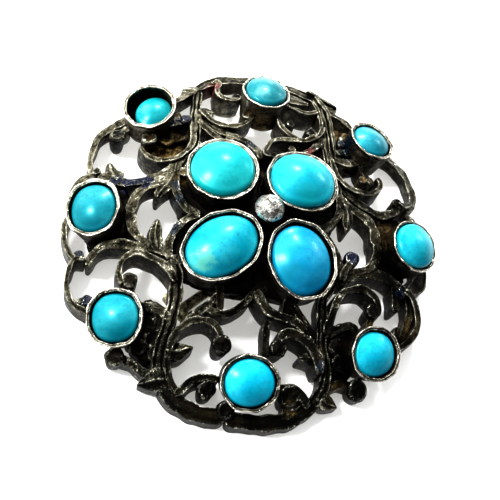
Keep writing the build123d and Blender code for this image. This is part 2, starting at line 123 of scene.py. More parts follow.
STRAPS["top_right"] = COMMON + [
    ("stem", "stem", (0.8, 0.9, 1.1, 1.0), [(6.0, 17.8), (6.5, 16.7), (6.8, 15.3), (6.9, 13.8), (7.0, 12.0),
         (7.1, 10.5), (7.2, 9.2), (7.5, 7.4), (8.0, 5.8), (8.4, 4.6)]),
    ("strand", "curl", (0.45, 0.4, 0.35), [(6.1, 18.2), (6.7, 17.2), (7.4, 16.0), (7.6, 14.6), (7.7, 12.9),
         (7.9, 11.2), (8.0, 9.6)]),
    ("second_stem", "line", (0.8, 0.7), [(6.9, 12.2), (6.3, 10.8), (5.1, 9.5), (3.8, 8.3)]),
    ("volute", "curl", (0.7, 0.6, 0.55), [(7.4, 8.8), (8.0, 7.2), (8.8, 6.1), (9.7, 5.6), (10.7, 5.4), (11.8, 5.6),
         (12.8, 6.3), (13.2, 7.3), (12.8, 8.1)]),
    ("cartouche", "line", (0.7, 0.8, 0.95), [(7.9, 6.8), (8.6, 5.9), (9.4, 5.1), (10.5, 4.4), (11.6, 3.9),
         (12.8, 3.7), (13.8, 3.8), (14.8, 4.4), (15.4, 5.3)]),
    ("side_hook", "line", (0.9, 0.8), [(18.6, 0.6), (18.7, 1.8), (18.3, 3.0), (17.4, 4.0), (16.3, 4.7)]),
    ("inner_cartouche", "line", (0.8, 1.3), [(8.6, 4.6), (10.2, 3.4), (11.6, 2.6), (12.4, 1.5), (12.6, -0.2)]),
    ("outer_scroll", "line", (1.0, 0.95, 0.8), [(13.8, 12.2), (15.2, 11.6), (16.2, 10.7), (16.9, 9.8), (17.3, 8.7),
         (17.5, 7.6), (17.3, 6.3), (16.5, 5.2)]),
    ("scroll_tail", "curl", (0.6, 0.6), [(16.9, 6.0), (16.1, 5.5), (15.3, 5.7)]),
    ("collar_link", "line", (1.0, 0.9), [(7.3, 10.2), (8.4, 9.3), (9.6, 9.2), (11.0, 9.9)]),
    ("volute_tail", "line", (0.7, 0.7), [(12.2, 7.8), (11.3, 8.5), (11.0, 9.8)]),
    ("collet_strap", "line", (0.9, 0.8), [(7.4, 16.6), (8.6, 16.0), (9.6, 15.4), (10.6, 14.6)]),
    ("rim_scroll", "rim", (1.1, 1.3, 1.3), [(7.0, 17.2), (6.0, 18.1), (4.8, 18.6), (3.2, 19.0), (1.5, 19.1),
         (-0.2, 19.1)]),
    ("rim_strand", "curl", (0.45, 0.5, 0.3), [(5.2, 18.9), (6.2, 18.5), (7.1, 18.0), (8.0, 17.5), (8.8, 17.2)]),
    ("outward_leaf", "leaf", (1.4, 1.2, 0.6), [(7.1, 16.9), (8.0, 17.2), (8.9, 17.3)]),
    ("shell_leaf", "leaf", (1.5, 1.9, 1.4, 0.4), [(2.6, 17.4), (3.6, 17.2), (4.6, 17.0), (5.5, 16.8)]),
    ("cup_scroll", "curl", (0.5, 0.5), [(6.4, 15.6), (5.4, 15.0), (4.3, 14.9), (3.2, 15.3), (2.4, 15.8)]),
    ("arch", "curl", (0.7, 0.6, 0.55), [(6.9, 13.4), (6.4, 12.3), (5.7, 11.3), (4.6, 10.6), (3.5, 10.6), (2.7, 11.2),
         (2.0, 12.1), (1.6, 13.1)]),
    ("small_ring", "curl", (0.6, 0.5, 0.5), [(4.4, 10.4), (3.0, 10.3), (1.9, 10.1), (0.9, 9.6), (0.5, 8.8),
         (0.3, 7.9), (1.1, 7.7)]),
    ("arch_link", "line", (0.8, 0.8), [(3.6, 6.4), (3.5, 8.0), (3.2, 10.0)]),
    ("bud", "leaf", (1.3, 1.3, 1.2, 0.6), [(8.7, 4.2), (9.2, 2.9), (9.3, 1.7), (9.2, 0.6)]),
]
STRAPS["bottom_left"] = COMMON + [
    ("stem", "stem", (1.2, 1.35, 1.25, 1.2), [(8.2, 4.8), (7.6, 6.1), (7.4, 7.8), (7.4, 9.3), (7.7, 11.1),
         (8.0, 12.5), (8.2, 13.6), (8.2, 14.8), (7.8, 16.0), (7.1, 17.0)]),
    ("strand", "line", (0.8, 0.75, 0.75), [(3.4, 7.8), (3.7, 8.5), (4.5, 9.2), (5.3, 10.0), (6.1, 10.8), (6.7, 11.6),
         (7.1, 12.5), (7.3, 13.6), (7.4, 14.6), (7.1, 15.6), (6.7, 16.5), (6.2, 17.1)]),
    ("volute", "curl", (0.9, 0.7, 0.65), [(7.4, 7.2), (8.2, 6.1), (9.2, 5.4), (10.2, 4.8), (11.2, 4.5), (12.1, 4.7),
         (12.7, 5.2), (12.9, 5.8), (12.9, 6.5), (12.7, 7.1), (12.4, 7.6)]),
    ("cartouche", "line", (0.8, 0.95, 0.8), [(8.5, 4.4), (9.4, 3.9), (10.3, 3.7), (11.2, 3.7), (12.2, 3.6),
         (13.3, 3.5), (14.4, 3.6), (15.2, 4.1), (15.7, 4.8), (16.0, 5.7)]),
    ("inner_cartouche", "line", (0.7, 1.1), [(9.0, 4.2), (9.9, 3.8), (10.9, 3.2), (11.8, 2.3), (12.4, 1.2),
         (12.6, -0.2)]),
    ("bud", "leaf", (1.1, 1.4, 1.3, 0.5), [(9.5, 4.0), (9.8, 2.9), (9.9, 1.8), (9.9, 0.7)]),
    ("side_hook", "curl", (0.7, 0.55, 0.5), [(18.4, 0.4), (18.7, 1.4), (18.6, 2.7), (18.3, 3.7), (17.9, 4.5),
         (17.3, 5.2)]),
    ("outer_scroll", "curl", (0.5, 0.55, 0.65), [(16.2, 5.2), (17.3, 5.2), (17.7, 6.6), (17.7, 7.6), (17.3, 8.8),
         (16.8, 9.5), (16.2, 10.0), (15.3, 10.5), (14.0, 11.3)]),
    ("scroll_tail", "curl", (0.5, 0.5), [(16.6, 9.6), (16.2, 9.2), (15.7, 9.2)]),
    ("collar_link", "line", (0.9, 0.9), [(7.6, 10.6), (8.8, 9.8), (10.2, 9.6), (11.4, 10.0)]),
    ("volute_tail", "line", (0.6, 0.6), [(11.9, 7.4), (11.4, 8.2), (11.4, 9.4)]),
    ("lower_volute", "line", (0.9, 0.8), [(8.2, 16.0), (9.4, 15.5), (10.5, 14.8), (11.3, 14.5), (12.2, 14.3)]),
    ("outward_leaf", "leaf", (2.4, 2.2, 1.2, 0.3), [(7.4, 16.0), (8.3, 16.1), (9.1, 16.4), (9.9, 16.6)]),
    ("rim_scroll", "rim", (1.3, 1.5, 1.4), [(7.6, 16.4), (6.8, 17.4), (5.7, 18.1), (4.4, 18.6), (3.0, 18.8),
         (1.3, 18.8)]),
    ("cup_scroll", "curl", (0.9, 0.75, 0.7), [(6.3, 17.4), (5.7, 16.8), (5.2, 16.2), (4.3, 15.8), (3.4, 15.7),
         (2.4, 15.8)]),
    ("arch", "curl", (0.9, 0.8, 0.7), [(7.4, 13.4), (7.0, 12.2), (6.4, 11.3), (5.7, 10.8), (4.8, 10.6), (4.1, 10.6),
         (3.4, 10.9), (2.9, 11.5), (2.6, 12.2)]),
    ("arch_strap", "line", (0.6, 0.65, 0.7), [(4.9, 9.0), (3.9, 9.5), (2.8, 9.7), (1.8, 9.4), (1.0, 8.8), (0.4, 8.0),
         (0.0, 7.2)]),
    ("arch_link", "line", (0.8, 0.8), [(3.5, 6.4), (3.2, 7.6), (3.0, 9.5)]),
    ("inward_leaf", "leaf", (2.0, 1.9, 1.2, 0.3), [(7.6, 13.4), (6.6, 13.4), (5.9, 13.2), (5.1, 13.0)]),
]
STRAPS["bottom_right"] = COMMON + [
    ("stem", "stem", (1.0, 1.1, 1.25, 1.3), [(8.2, 4.9), (7.3, 6.4), (6.9, 7.4), (7.0, 8.5), (7.1, 9.9), (7.2, 11.3),
         (7.6, 12.7), (7.9, 13.7), (7.9, 14.9), (7.6, 15.9), (7.0, 16.8)]),
    ("volute", "curl", (1.0, 0.85, 0.75, 0.7), [(7.4, 10.4), (7.8, 9.2), (8.0, 8.3), (8.2, 7.4), (8.7, 6.5),
         (9.3, 5.9), (10.1, 5.5), (10.8, 5.3), (11.6, 5.3), (12.3, 5.7), (12.8, 6.3), (13.0, 6.9), (12.8, 7.6)]),
    ("cartouche", "line", (1.0, 1.2, 1.1), [(8.6, 5.0), (9.4, 4.5), (10.4, 3.8), (11.5, 3.4), (12.9, 3.2),
         (14.2, 3.4), (15.2, 3.9), (15.9, 4.8)]),
    ("inner_cartouche", "line", (0.7, 1.2), [(9.2, 4.6), (10.4, 3.8), (11.2, 3.2), (12.1, 2.4), (12.7, 1.4),
         (12.8, -0.2)]),
    ("bud", "curl", (0.9, 0.7), [(8.7, 5.0), (9.1, 3.9), (9.7, 2.6)]),
    ("side_hook", "rim", (1.5, 1.7, 1.2), [(18.1, 0.6), (18.2, 1.9), (17.7, 3.1), (16.6, 4.1)]),
    ("outer_scroll", "curl", (0.8, 0.7, 0.65), [(15.9, 4.2), (16.8, 4.7), (17.3, 5.5), (17.6, 6.3), (17.7, 7.3),
         (17.5, 8.1), (16.9, 9.0), (16.2, 9.8), (14.8, 10.8)]),
    ("scroll_channel", "line", (0.8, 0.9, 0.8), [(16.4, 4.8), (16.8, 6.1), (16.7, 7.0), (16.4, 8.1), (16.1, 8.9),
         (15.2, 10.0)]),
    ("scroll_block", "line", (1.0, 1.0), [(14.9, 3.9), (15.0, 5.2), (15.0, 6.6)]),
    ("lower_block", "line", (0.8, 0.8), [(15.3, 8.0), (15.3, 9.0), (14.8, 10.2)]),
    ("volute_tail", "line", (0.7, 0.7), [(12.4, 7.6), (12.1, 8.6), (12.2, 9.6)]),
    ("collar_link", "line", (0.9, 0.8), [(7.4, 10.4), (8.5, 9.7), (9.4, 9.2), (10.3, 9.1), (11.2, 9.6)]),
    ("lower_volute", "line", (0.8, 0.8), [(8.2, 15.2), (9.4, 14.6), (10.4, 14.6), (11.3, 15.0)]),
    ("outward_leaf", "leaf", (2.0, 1.3, 0.3), [(7.7, 16.2), (8.6, 16.5), (9.5, 16.8)]),
    ("rim_scroll", "rim", (1.3, 1.5, 1.4), [(7.4, 16.4), (6.5, 17.3), (5.6, 18.0), (4.4, 18.6), (3.0, 18.9),
         (1.5, 19.0), (0.1, 19.0), (-1.3, 18.9)]),
    ("cup_scroll", "curl", (0.9, 0.8, 0.8), [(6.4, 17.3), (6.0, 16.8), (5.5, 16.2), (4.8, 15.8), (4.0, 15.8),
         (2.6, 16.1)]),
    ("cup_stalk", "line", (0.9, 0.9), [(4.4, 16.8), (4.4, 17.6), (4.5, 18.6)]),
    ("arch", "curl", (1.1, 1.05, 0.95), [(7.2, 14.2), (7.0, 13.2), (6.7, 12.4), (6.1, 11.8), (5.5, 11.4), (4.6, 11.0),
         (3.8, 10.9), (3.1, 11.2), (2.8, 11.8)]),
    ("arch_strap", "curl", (0.9, 1.0, 0.9), [(5.4, 10.6), (4.4, 9.8), (3.2, 9.5), (1.7, 9.2), (0.8, 8.4),
         (0.1, 7.2)]),
    ("second_stem", "line", (0.8, 0.9), [(3.6, 7.6), (4.6, 8.8), (5.6, 10.0), (6.8, 11.0)]),
    ("arch_link", "line", (0.8, 0.8), [(3.5, 6.4), (3.4, 8.0), (3.2, 9.6)]),
    ("foot_link", "line", (0.7, 0.7), [(1.7, 9.3), (1.6, 10.8), (1.7, 12.4), (1.7, 13.8)]),
    ("inward_leaf", "leaf", (1.4, 1.2, 0.8), [(7.0, 12.7), (6.0, 12.7), (5.0, 12.9)]),
]

# Outlines of the webs of each quarter, those that differ, and floors of bowls between curls
WEBS = {
    "stem_web": [(7.4, 9.6), (9.6, 8.6), (11.4, 9.4), (11.4, 12.8), (9.8, 14.3), (7.8, 15.0)],
    "middle_web": [(-0.2, 7.4), (3.4, 7.4), (6.0, 6.4), (8.0, 5.2), (8.2, 2.0), (7.4, -0.2), (-0.2, -0.2)],
    "side_web": [(12.6, -0.3), (12.6, 1.6), (13.4, 3.6), (15.6, 4.2), (16.6, 2.0), (16.6, -0.3)],
}
OWN_WEBS = {
    ("top_left", "stem_web"): [(7.4, 9.6), (9.6, 8.6), (11.4, 9.4), (11.2, 11.8), (9.4, 12.4), (7.2, 12.6)],
}
BOWLS = {"top_left": [(7.2, 10.0), (7.5, 7.6), (9.0, 6.2), (10.8, 6.0), (12.0, 7.0), (12.0, 8.6), (10.8, 9.8)]}

# Balls at the ends of the curls of each quarter: place, radius in millimetres
PELLETS = {
    "top_left": [(11.6, 8.7, 0.85), (14.8, 9.1, 0.85), (16.4, 4.6, 0.50), (1.7, 13.1, 0.62), (2.9, 15.7, 0.48),
                 (8.0, 11.6, 0.62)],
    "top_right": [(3.1, 12.8, 0.52), (5.3, 12.1, 0.62), (15.2, 5.6, 0.62), (11.2, 7.3, 0.55), (12.1, 7.4, 0.50),
                  (8.8, 11.5, 0.55), (9.4, 10.5, 0.50), (8.6, 10.3, 0.45), (1.2, 8.0, 0.45)],
    "bottom_left": [(11.8, 7.2, 0.80), (16.9, 4.6, 0.52), (15.6, 9.2, 0.58), (12.3, 14.3, 0.95), (2.6, 12.6, 0.95),
                    (3.5, 16.7, 0.90), (1.5, 18.3, 0.85)],
    "bottom_right": [(12.3, 7.3, 0.80), (9.8, 2.4, 0.78), (15.8, 4.3, 0.62), (11.3, 15.0, 1.10), (2.9, 12.3, 0.85),
                     (4.4, 16.5, 1.10)],
}

# Low lumps of casting under the straps, in the same terms
CLUMPS = {
    "bottom_left": [(9.5, 10.0, 1.1), (9.8, 11.2, 1.2), (8.6, 10.9, 0.8), (9.0, 12.3, 1.0), (10.2, 13.1, 0.9),
                    (8.7, 13.6, 0.7)],
    "bottom_right": [(8.8, 11.1, 0.9), (9.2, 9.7, 0.9), (9.3, 12.6, 0.9), (8.6, 13.6, 0.6)],
    "top_right": [(9.3, 11.2, 0.9), (8.5, 9.4, 0.7), (9.6, 13.2, 0.8)],
    "top_left": [(9.2, 12.6, 0.8)],
}

# What is left of the enamel: place and radius in millimetres on the whole brooch, and its colour from navy
# at 0 over teal at 0.5 to dark red at 1
ENAMEL = [
    (-11.4, 3.5, 1.0, 0.05), (-12.8, 3.3, 1.1, 0.0), (-14.2, 3.4, 0.8, 0.1), (-8.2, -1.5, 1.0, 0.45),
    (-8.2, 11.4, 1.0, 0.1), (9.7, -2.3, 1.0, 0.05), (7.2, -13.2, 0.7, 0.4), (-16.7, -4.5, 0.6, 0.3),
    (-15.5, -9.1, 0.6, 0.1), (-5.3, 16.9, 0.9, 1.0), (5.3, 9.3, 0.8, 1.0), (9.0, 11.3, 1.1, 0.4),
    (9.1, 10.1, 1.0, 0.5), (-1.1, 9.0, 0.7, 0.25), (-9.4, 11.0, 0.7, 0.2), (15.3, -4.6, 0.6, 0.3),
    (-8.3, 3.2, 0.7, 0.3), (-7.9, 1.6, 0.7, 0.4),
]
# Where the old gilding shows through the tarnish: place and radius in millimetres
GILT = [
    (-0.4, 13.2, 2.6), (-10.0, 8.0, 2.8), (-9.4, 12.8, 2.2), (9.0, 13.8, 2.2), (14.0, 1.4, 2.4),
    (16.5, -7.6, 1.8), (4.6, -17.4, 0.9), (12.0, -8.8, 1.0), (-8.0, 4.2, 1.2), (11.2, 7.3, 1.4),
    (9.2, -15.3, 1.2),
]

# Half of a strap's section from the foot of its wall to its middle: place across as a share of the half
# width, height as a share of the shoulder, share of the rise, and how worn the metal is there
WALL = [(1.00, 0.00, 0.00, 0.20), (1.00, 0.50, 0.00, 0.50), (1.00, 0.95, 0.00, 0.50)]
HALF_SECTIONS = {
    "line": WALL + [
        (1.00, 1.00, 0.70, 0.35), (0.95, 1.00, 0.97, 0.82), (0.84, 1.00, 1.00, 0.72), (0.50, 1.00, 0.98, 0.64),
        (0.22, 1.00, 0.95, 0.62), (0.06, 1.00, 0.90, 0.52),
    ],
    "stem": WALL + [
        (1.00, 1.00, 0.70, 0.35), (0.95, 1.00, 0.95, 0.90), (0.84, 1.00, 1.00, 0.78), (0.62, 1.00, 0.86, 0.55),
        (0.52, 1.00, 0.50, 0.05), (0.42, 1.00, 0.55, 0.10), (0.28, 1.00, 0.94, 0.72), (0.09, 1.00, 1.00, 0.62),
    ],
    "curl": [
        (1.20, 0.00, 0.00, 0.20), (1.13, 0.45, 0.00, 0.50), (1.05, 0.90, 0.00, 0.50), (1.00, 1.00, 0.70, 0.30),
        (0.93, 1.00, 0.97, 0.90), (0.72, 1.00, 1.00, 0.76), (0.24, 1.00, 0.94, 0.60),
    ],
    "rim": [
        (0.99, 0.00, 0.00, 0.90), (1.02, 0.10, 0.00, 0.85), (1.00, 0.20, 0.00, 0.05), (1.00, 0.95, 0.00, 0.10),
        (1.00, 1.00, 0.60, 0.40), (0.96, 1.00, 0.95, 1.00), (0.86, 1.00, 1.00, 0.76), (0.70, 1.00, 0.90, 0.50),
        (0.60, 1.00, 0.70, 0.10), (0.48, 1.00, 0.72, 0.15), (0.30, 1.00, 0.90, 0.45), (0.10, 1.00, 0.92, 0.45),
    ],
    "leaf": WALL + [
        (0.99, 1.00, 0.40, 0.60), (0.90, 1.00, 0.76, 0.85), (0.55, 1.00, 0.74, 0.52), (0.22, 1.00, 0.88, 0.60),
        (0.06, 1.00, 1.10, 0.90),
    ],
}
# Height of each kind over the shoulder of its wall
RISES = {"line": 0.4, "stem": 0.45, "curl": 0.9, "rim": 0.4, "leaf": 0.5}


class Collet(NamedTuple):
    """A collet and its stone. Sizes are shares of the usual ones of their ring."""
    name: str
    ring: str
    direction: float    # from the middle, in degrees
    distance: float     # from the middle, as a share of the frame's radius
    length: float
    width: float
    turn: float         # of its long axis, in degrees
    slack: float        # round the stone
    sunk: float         # top of the stone below the rim

    @property
    def title(self):
        return f"{self.ring}_{self.name}"


COLLETS = [Collet(*row) for row in [
    ("top_left", "inner", 133.0, 0.304, 1.00, 1.00, 0, 0.00, -1.1),
    ("top_right", "inner", 47.6, 0.294, 1.05, 0.97, 0, 0.00, -1.2),
    ("bottom_left", "inner", 226.2, 0.263, 1.18, 0.92, 40, 0.03, -0.8),
    ("bottom_right", "inner", 315.7, 0.297, 1.14, 0.97, 108, 0.10, -0.7),
    ("bottom", "outer", 271.0, 0.812, 1.08, 1.02, 0, 0.06, -0.5),
    ("bottom_left", "outer", 221.4, 0.855, 1.02, 0.99, 90, 0.08, -0.4),
    ("left", "outer", 181.0, 0.814, 1.12, 1.00, 90, 0.08, -0.4),
    ("top_left", "outer", 134.2, 0.858, 1.02, 0.93, 60, 0.42, 0.55),
    ("top", "outer", 89.6, 0.790, 1.02, 0.98, 90, 0.00, -0.8),
    ("top_right", "outer", 45.0, 0.855, 0.99, 0.96, 0, 0.08, -0.45),
    ("right", "outer", 0.4, 0.830, 1.06, 1.04, 90, 0.00, -0.9),
    ("bottom_right", "outer", 316.6, 0.864, 1.02, 1.00, 0, 0.10, -0.35),
]]


class Own(NamedTuple):
    """What a single collet has of its own."""
    size: float = 1.0             # against the usual one
    lean: float = 0               # to the front and right, in degrees
    shift: tuple = (0, 0)         # to the right and to the back
    stone_shift: tuple = (0, 0)   # along and across the stone
    squared: float = 0.0          # from round towards a square with soft corners


OWN = {
    "outer_top_left": Own(size=1.08, lean=13, shift=(-0.45, 0.35), stone_shift=(0.2, -0.35)),
    "outer_bottom_left": Own(size=1.05, squared=0.022),
    "outer_left": Own(size=1.03, lean=4, shift=(-0.1, 0), squared=0.012),
    "outer_bottom_right": Own(size=1.03, squared=0.015),
    "inner_top_right": Own(squared=0.012),
}

# Colours of the stones, as the materials take them
STONE_COLOURS = {
    "inner_top_left": (0.001, 0.245, 0.25), "inner_top_right": (0.0, 0.22, 0.27),
    "inner_bottom_left": (0.0, 0.195, 0.25), "inner_bottom_right": (0.0, 0.165, 0.27),
    "outer_top": (0.002, 0.125, 0.145), "outer_top_left": (0.0, 0.20, 0.22),
    "outer_left": (0.0, 0.140, 0.170), "outer_bottom_left": (0.0, 0.155, 0.190),
    "outer_bottom": (0.0, 0.25, 0.34), "outer_bottom_right": (0.0, 0.23, 0.31),
    "outer_right": (0.0, 0.215, 0.27), "outer_top_right": (0.0, 0.140, 0.180),
}
# Marks of single stones: along and across the stone as shares of its half sizes, radius, colour, strength
STONE_MARKS = {
    "inner_bottom_left": [(-0.66, -0.10, 1.5, (0.085, 0.25, 0.18), 0.7), (-0.75, 0.25, 0.7, (0.14, 0.27, 0.17), 0.6),
                          (0.42, -0.05, 0.17, (0.01, 0.03, 0.03), 0.9)],
    "inner_top_right": [(0.1, -0.8, 1.6, (0.0, 0.13, 0.14), 0.7)],
    "inner_bottom_right": [(-0.3, 0.6, 1.6, (0.0, 0.10, 0.15), 0.7)],
    "outer_top": [(-0.4, 0.3, 0.9, (0.10, 0.24, 0.24), 0.7), (0.3, -0.1, 0.5, (0.08, 0.24, 0.25), 0.6)],
    "outer_top_left": [(-0.2, 0.2, 0.7, (0.09, 0.27, 0.26), 0.6), (0.3, -0.3, 0.4, (0.01, 0.12, 0.12), 0.6)],
    "outer_left": [(0.2, -0.5, 0.45, (0.01, 0.14, 0.16), 0.5)],
    "outer_top_right": [(-0.3, 0.3, 0.6, (0.02, 0.22, 0.25), 0.5)],
}


def ball_height(x, y, above):
    """Height over the ground of a ball round the dome's centre, this far above the hollow face."""
    return sqrt((DOME_RADIUS + above) ** 2 - x * x - y * y) + CENTRE_Z


def onto_dome(verts, top):
    """Bends flat work onto the dome: its underside follows the hollow face or stands on the ground."""
    for v in verts:
        under = max(0.0, ball_height(v.co.x, v.co.y, 0))
        over = ball_height(v.co.x, v.co.y, top)
        v.co.z = under + (over - under) * v.co.z / top


def smooth_line(points, spacing):
    """Places at an even spacing along a smooth line through the points."""
    knots = [Vector((x, y, 0)) for x, y in points]
    knots = [2 * knots[0] - knots[1]] + knots + [2 * knots[-1] - knots[-2]]
    fine = []
    for a, b, c, d in zip(knots, knots[1:], knots[2:], knots[3:]):
        fine += interpolate_bezier(b, b + (c - a) / 6, c - (d - b) / 6, c, 16)[:-1]
    fine.append(knots[-2])
    length = sum((b - a).length for a, b in zip(fine, fine[1:]))
    count = max(3, round(length / spacing))
    places, walked, i = [fine[0]], 0.0, 0
    for k in range(1, count):
        target = length * k / count
        while walked + (fine[i + 1] - fine[i]).length < target:
            walked += (fine[i + 1] - fine[i]).length
            i += 1
        run = fine[i + 1] - fine[i]
        places.append(fine[i] + run * ((target - walked) / run.length))
    places.append(fine[-1])
    return places


def on_grid(points, side_x, side_y):
    """Points of the drawing in millimetres, mirrored into their quarter."""
    return [(x * STEP * side_x, y * STEP * side_y) for x, y in points]


def width_at(widths, share):
    """Width at a share of the length, with the widths spaced evenly from start to end."""
    reach = share * (len(widths) - 1)
    i = min(int(reach), len(widths) - 2)
    return widths[i] + (widths[i + 1] - widths[i]) * (reach - i)


def wander(place, amount, size, layer):
    """A smooth wander of this amount, with waves of this size. Each layer has waves of its own."""
    return amount * noise.noise(place / size + Vector((0, 0, layer)))


def lay_strap(bm, points, widths, kind):
    """Sweeps a strap's section along its centre line. Its width, place, slope and height wander a little, as
    in hand work, and its ends are drawn in."""
    half_section, rise = HALF_SECTIONS[kind], RISES[kind]
    section = [(-across, *rest) for across, *rest in half_section] + half_section[::-1]
    line = smooth_line(points, STRAP_STEP)
    worn, along = bm.verts.layers.float["worn"], bm.verts.layers.float["along"]
    last, end_steps = len(line) - 1, 3
    frames = []
    for i, place in enumerate(line):
        ahead = (line[min(i + 1, last)] - line[max(i - 1, 0)]).normalized()
        aside = Vector((-ahead.y, ahead.x, 0))
        half = width_at(widths, i / last) / 2 * (1 + wander(place, 0.22, 1.1, 0))
        near = min(i, last - i)
        if near < end_steps:
            half *= 0.5 + 0.5 * sin(near / end_steps * pi / 2)
        place = place + aside * wander(place, 0.10, 1.6, 9)
        slope = wander(place, 0.22, 2.0, 3)
        frames.append(Matrix((
            (aside.x * half, ahead.x, 0, place.x),
            (aside.y * half, ahead.y, 0, place.y),
            (slope, 0, 1 + wander(place, 0.05, 1.5, 5), 0),
            (0, 0, 0, 1),
        )))
    verts = []
    for across, shoulder, crown, wear in section:
        v = bm.verts.new(frames[0] @ Vector((across, 0, shoulder * SHOULDER + crown * rise)))
        v[worn] = wear
        verts.append(v)
    face = bm.faces.new(verts)
    for i, (before, after) in enumerate(zip(frames, frames[1:])):
        grown = bmesh.ops.extrude_face_region(bm, geom=[face])["geom"]
        if i > 0:
            # The extrusion leaves the last cap inside the strap
            bm.faces.remove(face)
        face = next(g for g in grown if isinstance(g, bmesh.types.BMFace))
        bmesh.ops.transform(bm, matrix=after @ before.inverted(), verts=face.verts)
        for v in face.verts:
            v[along] = points[0][0] + (i + 1) * STRAP_STEP
        verts += list(face.verts)
    onto_dome(verts, SHOULDER + rise)


def add_work(bm, other):
    """Adds one piece of work to another."""
    mesh = bpy.data.meshes.new("joined")
    other.to_mesh(mesh)
    other.free()
    bm.from_mesh(mesh)
    bpy.data.meshes.remove(mesh)


def spin_profile(bm, profile, steps):
    """Spins a profile of (radius, height) that starts and ends on the axis."""
    verts = [bm.verts.new((r, 0, z)) for r, z in profile]
    edges = [bm.edges.new(pair) for pair in zip(verts, verts[1:])]
    bmesh.ops.spin(bm, geom=verts + edges, cent=(0, 0, 0), axis=(0, 0, 1), dvec=(0, 0, 0),
                   angle=2 * pi, steps=steps, use_merge=True, use_duplicate=False)
    bmesh.ops.remove_doubles(bm, verts=bm.verts, dist=1e-4)


def new_work(*layers):
    """An empty piece of work that carries these measures on its surface."""
    bm = bmesh.new()
    for name in layers:
        bm.verts.layers.float.new(name)
    return bm


def uneven(bm, finish):
    """Hand finish: each surface wanders a little in and out, and nothing sinks into the ground."""
    for size, depth in finish:
        bm.normal_update()
        moved = [(v, v.normal * (noise.noise(v.co / size) * depth)) for v in bm.verts]
        for v, shift in moved:
            v.co += shift
            v.co.z = max(0.0, v.co.z)


def paint(bm):
    """Marks where enamel is left, up to 1.3 times its radius, and where old gilding shows."""
    enamel, tint, gilt = (bm.verts.layers.float.new(name) for name in ("enamel", "tint", "gilt"))
    for v in bm.verts:
        x, y = v.co.xy
        for at_x, at_y, radius, colour in ENAMEL:
            near = 1.3 - hypot(x - at_x, y - at_y) / radius
            if near > v[enamel]:
                v[enamel], v[tint] = min(1.0, near), colour
        for at_x, at_y, radius in GILT:
            v[gilt] = max(v[gilt], min(1.0, 1.5 * (1 - hypot(x - at_x, y - at_y) / radius)))


def finish_piece(bm, name, material, replaced, smooth):
    """Makes a piece of the work in metres, and hides the part of the model that it stands for."""
    if replaced == "silver_frame":
        paint(bm)
    bmesh.ops.scale(bm, vec=(MM, MM, MM), verts=bm.verts)
    mesh = bpy.data.meshes.new(name)
    bm.to_mesh(mesh)
    bm.free()
    mesh.polygons.foreach_set("use_smooth", [True] * len(mesh.polygons))
    mesh.materials.append(material)
    piece = bpy.data.objects.new(name, mesh)
    bpy.context.scene.collection.objects.link(piece)
    if smooth:
        rounding = piece.modifiers.new("rounding", "SUBSURF")
        rounding.levels = rounding.render_levels = smooth
    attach(piece, "root")
    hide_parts(replaced)


# Materials

class Nodes:
    """Places nodes of one material and joins them."""

    def __init__(self, tree):
        self.tree = tree
        tree.nodes.clear()

    def add(self, kind, inputs=None, **settings):
        node = self.tree.nodes.new(kind)
        for key, value in settings.items():
            setattr(node, key, value)
        for key, value in (inputs or {}).items():
            socket = node.inputs[key]
            if isinstance(value, bpy.types.NodeSocket):
                self.tree.links.new(value, socket)
            else:
                socket.default_value = value
        return node

    def math(self, operation, a, b=0.0):
        return self.add("ShaderNodeMath", {0: a, 1: b}, operation=operation).outputs[0]

    def sum(self, first, *others):
        for other in others:
            first = self.math("ADD", first, other)
        return first

    def between(self, value, low, high, to_low=0.0, to_high=1.0):
        """Brings a value from one range to another, and stops at its ends."""
        return self.add("ShaderNodeMapRange", {0: value, 1: low, 2: high, 3: to_low, 4: to_high}).outputs[0]

    def mix(self, share, a, b):
        """Colour a where the share is 0 and b where it is 1."""
        return self.add("ShaderNodeMix", {0: share, 6: a, 7: b}, data_type="RGBA").outputs[2]

    def along(self, place, direction):
        return self.add("ShaderNodeVectorMath", {0: place, 1: direction}, operation="DOT_PRODUCT").outputs["Value"]

    def away(self, place, point):
        return self.add("ShaderNodeVectorMath", {0: place, 1: point}, operation="DISTANCE").outputs["Value"]

    def grain(self, place, size_mm, detail=2.0, roughness=0.5):
        """Noise whose lumps are about this many millimetres across."""
        return self.add("ShaderNodeTexNoise", {"Vector": place, "Scale": 1 / (size_mm * MM), "Detail": detail,
                                               "Roughness": roughness}).outputs[0]


def new_material(name):
    material = bpy.data.materials.new(name)
    material.use_nodes = True
    return material, Nodes(material.node_tree)


